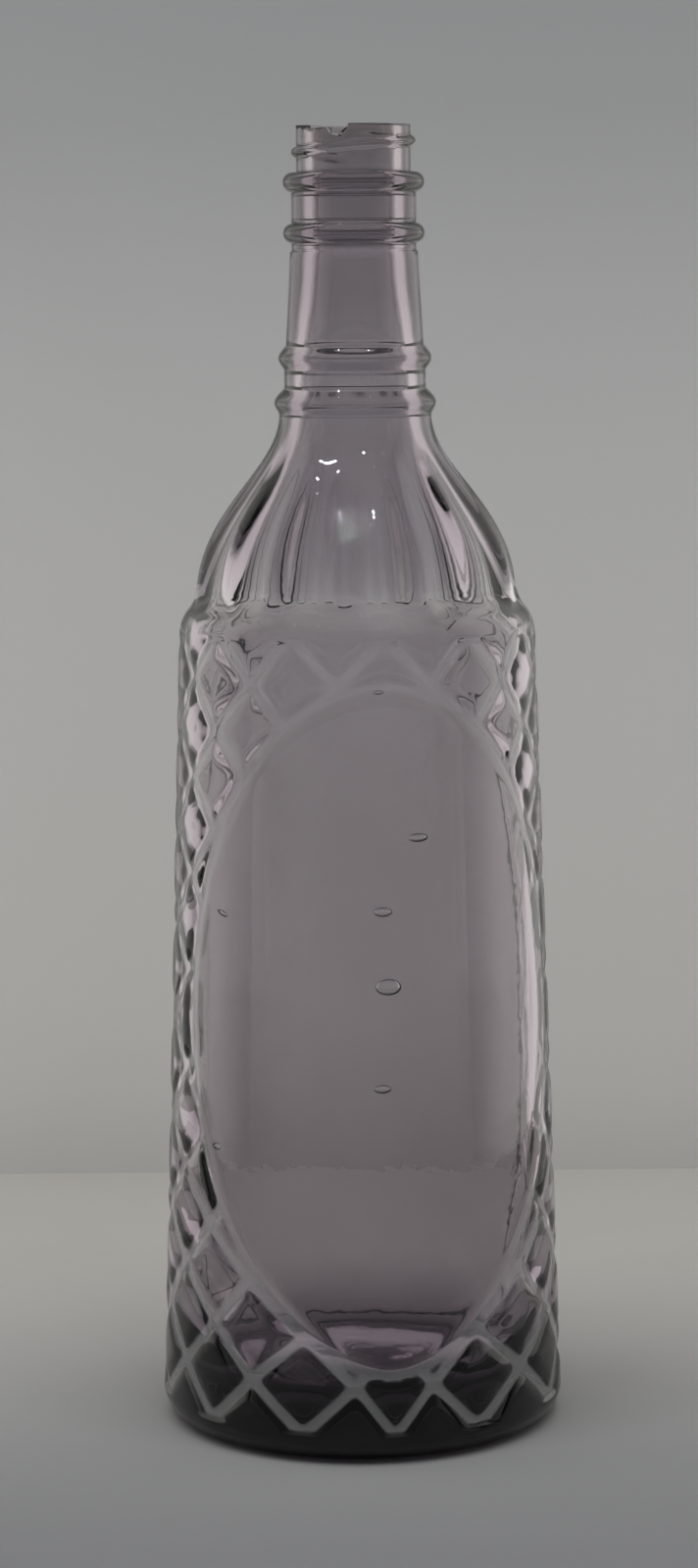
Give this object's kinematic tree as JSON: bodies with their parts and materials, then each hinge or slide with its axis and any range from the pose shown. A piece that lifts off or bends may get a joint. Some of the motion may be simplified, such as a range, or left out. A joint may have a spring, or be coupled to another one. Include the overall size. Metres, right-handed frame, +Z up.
{
  "type": "antique glass bottle",
  "caption": "Tall round pressed-glass bottle with screw mouth, ringed neck, fluted shoulder, diamond-cut body and smooth oval label panels.",
  "frame": {"origin": "centre of the base, on the plane of the ring that the bottle stands on", "axes": "+Z up along the bottle's axis, towards the mouth; the front label panel faces -Y; +X to the right of a viewer who faces that panel"},
  "size_m": [0.0908, 0.0908, 0.2898],
  "materials": {
    "wall_glass": "smooth pale amethyst glass with fine mould waves and a few bubbles",
    "relief_glass": "fire-polished pale amethyst glass with softened mould edges",
    "thick_glass": "thick amethyst glass, darker where it is deep"
  },
  "bodies": {
    "root": {"base_plate": "thick_glass", "heel_ring": "thick_glass", "body_wall": "wall_glass", "diamond_lattice": "relief_glass", "front_label_panel": "wall_glass", "back_label_panel": "wall_glass", "front_panel_border": "relief_glass", "back_panel_border": "relief_glass", "shoulder_band": "relief_glass", "fluted_shoulder": "wall_glass", "lower_neck_bead": "relief_glass", "neck_waist": "wall_glass", "upper_neck_bead": "relief_glass", "neck_tube": "wall_glass", "mouth_wall": "wall_glass", "lower_finish_ring": "relief_glass", "upper_finish_ring": "relief_glass", "screw_thread": "relief_glass"}
  },
  "joints": []
}
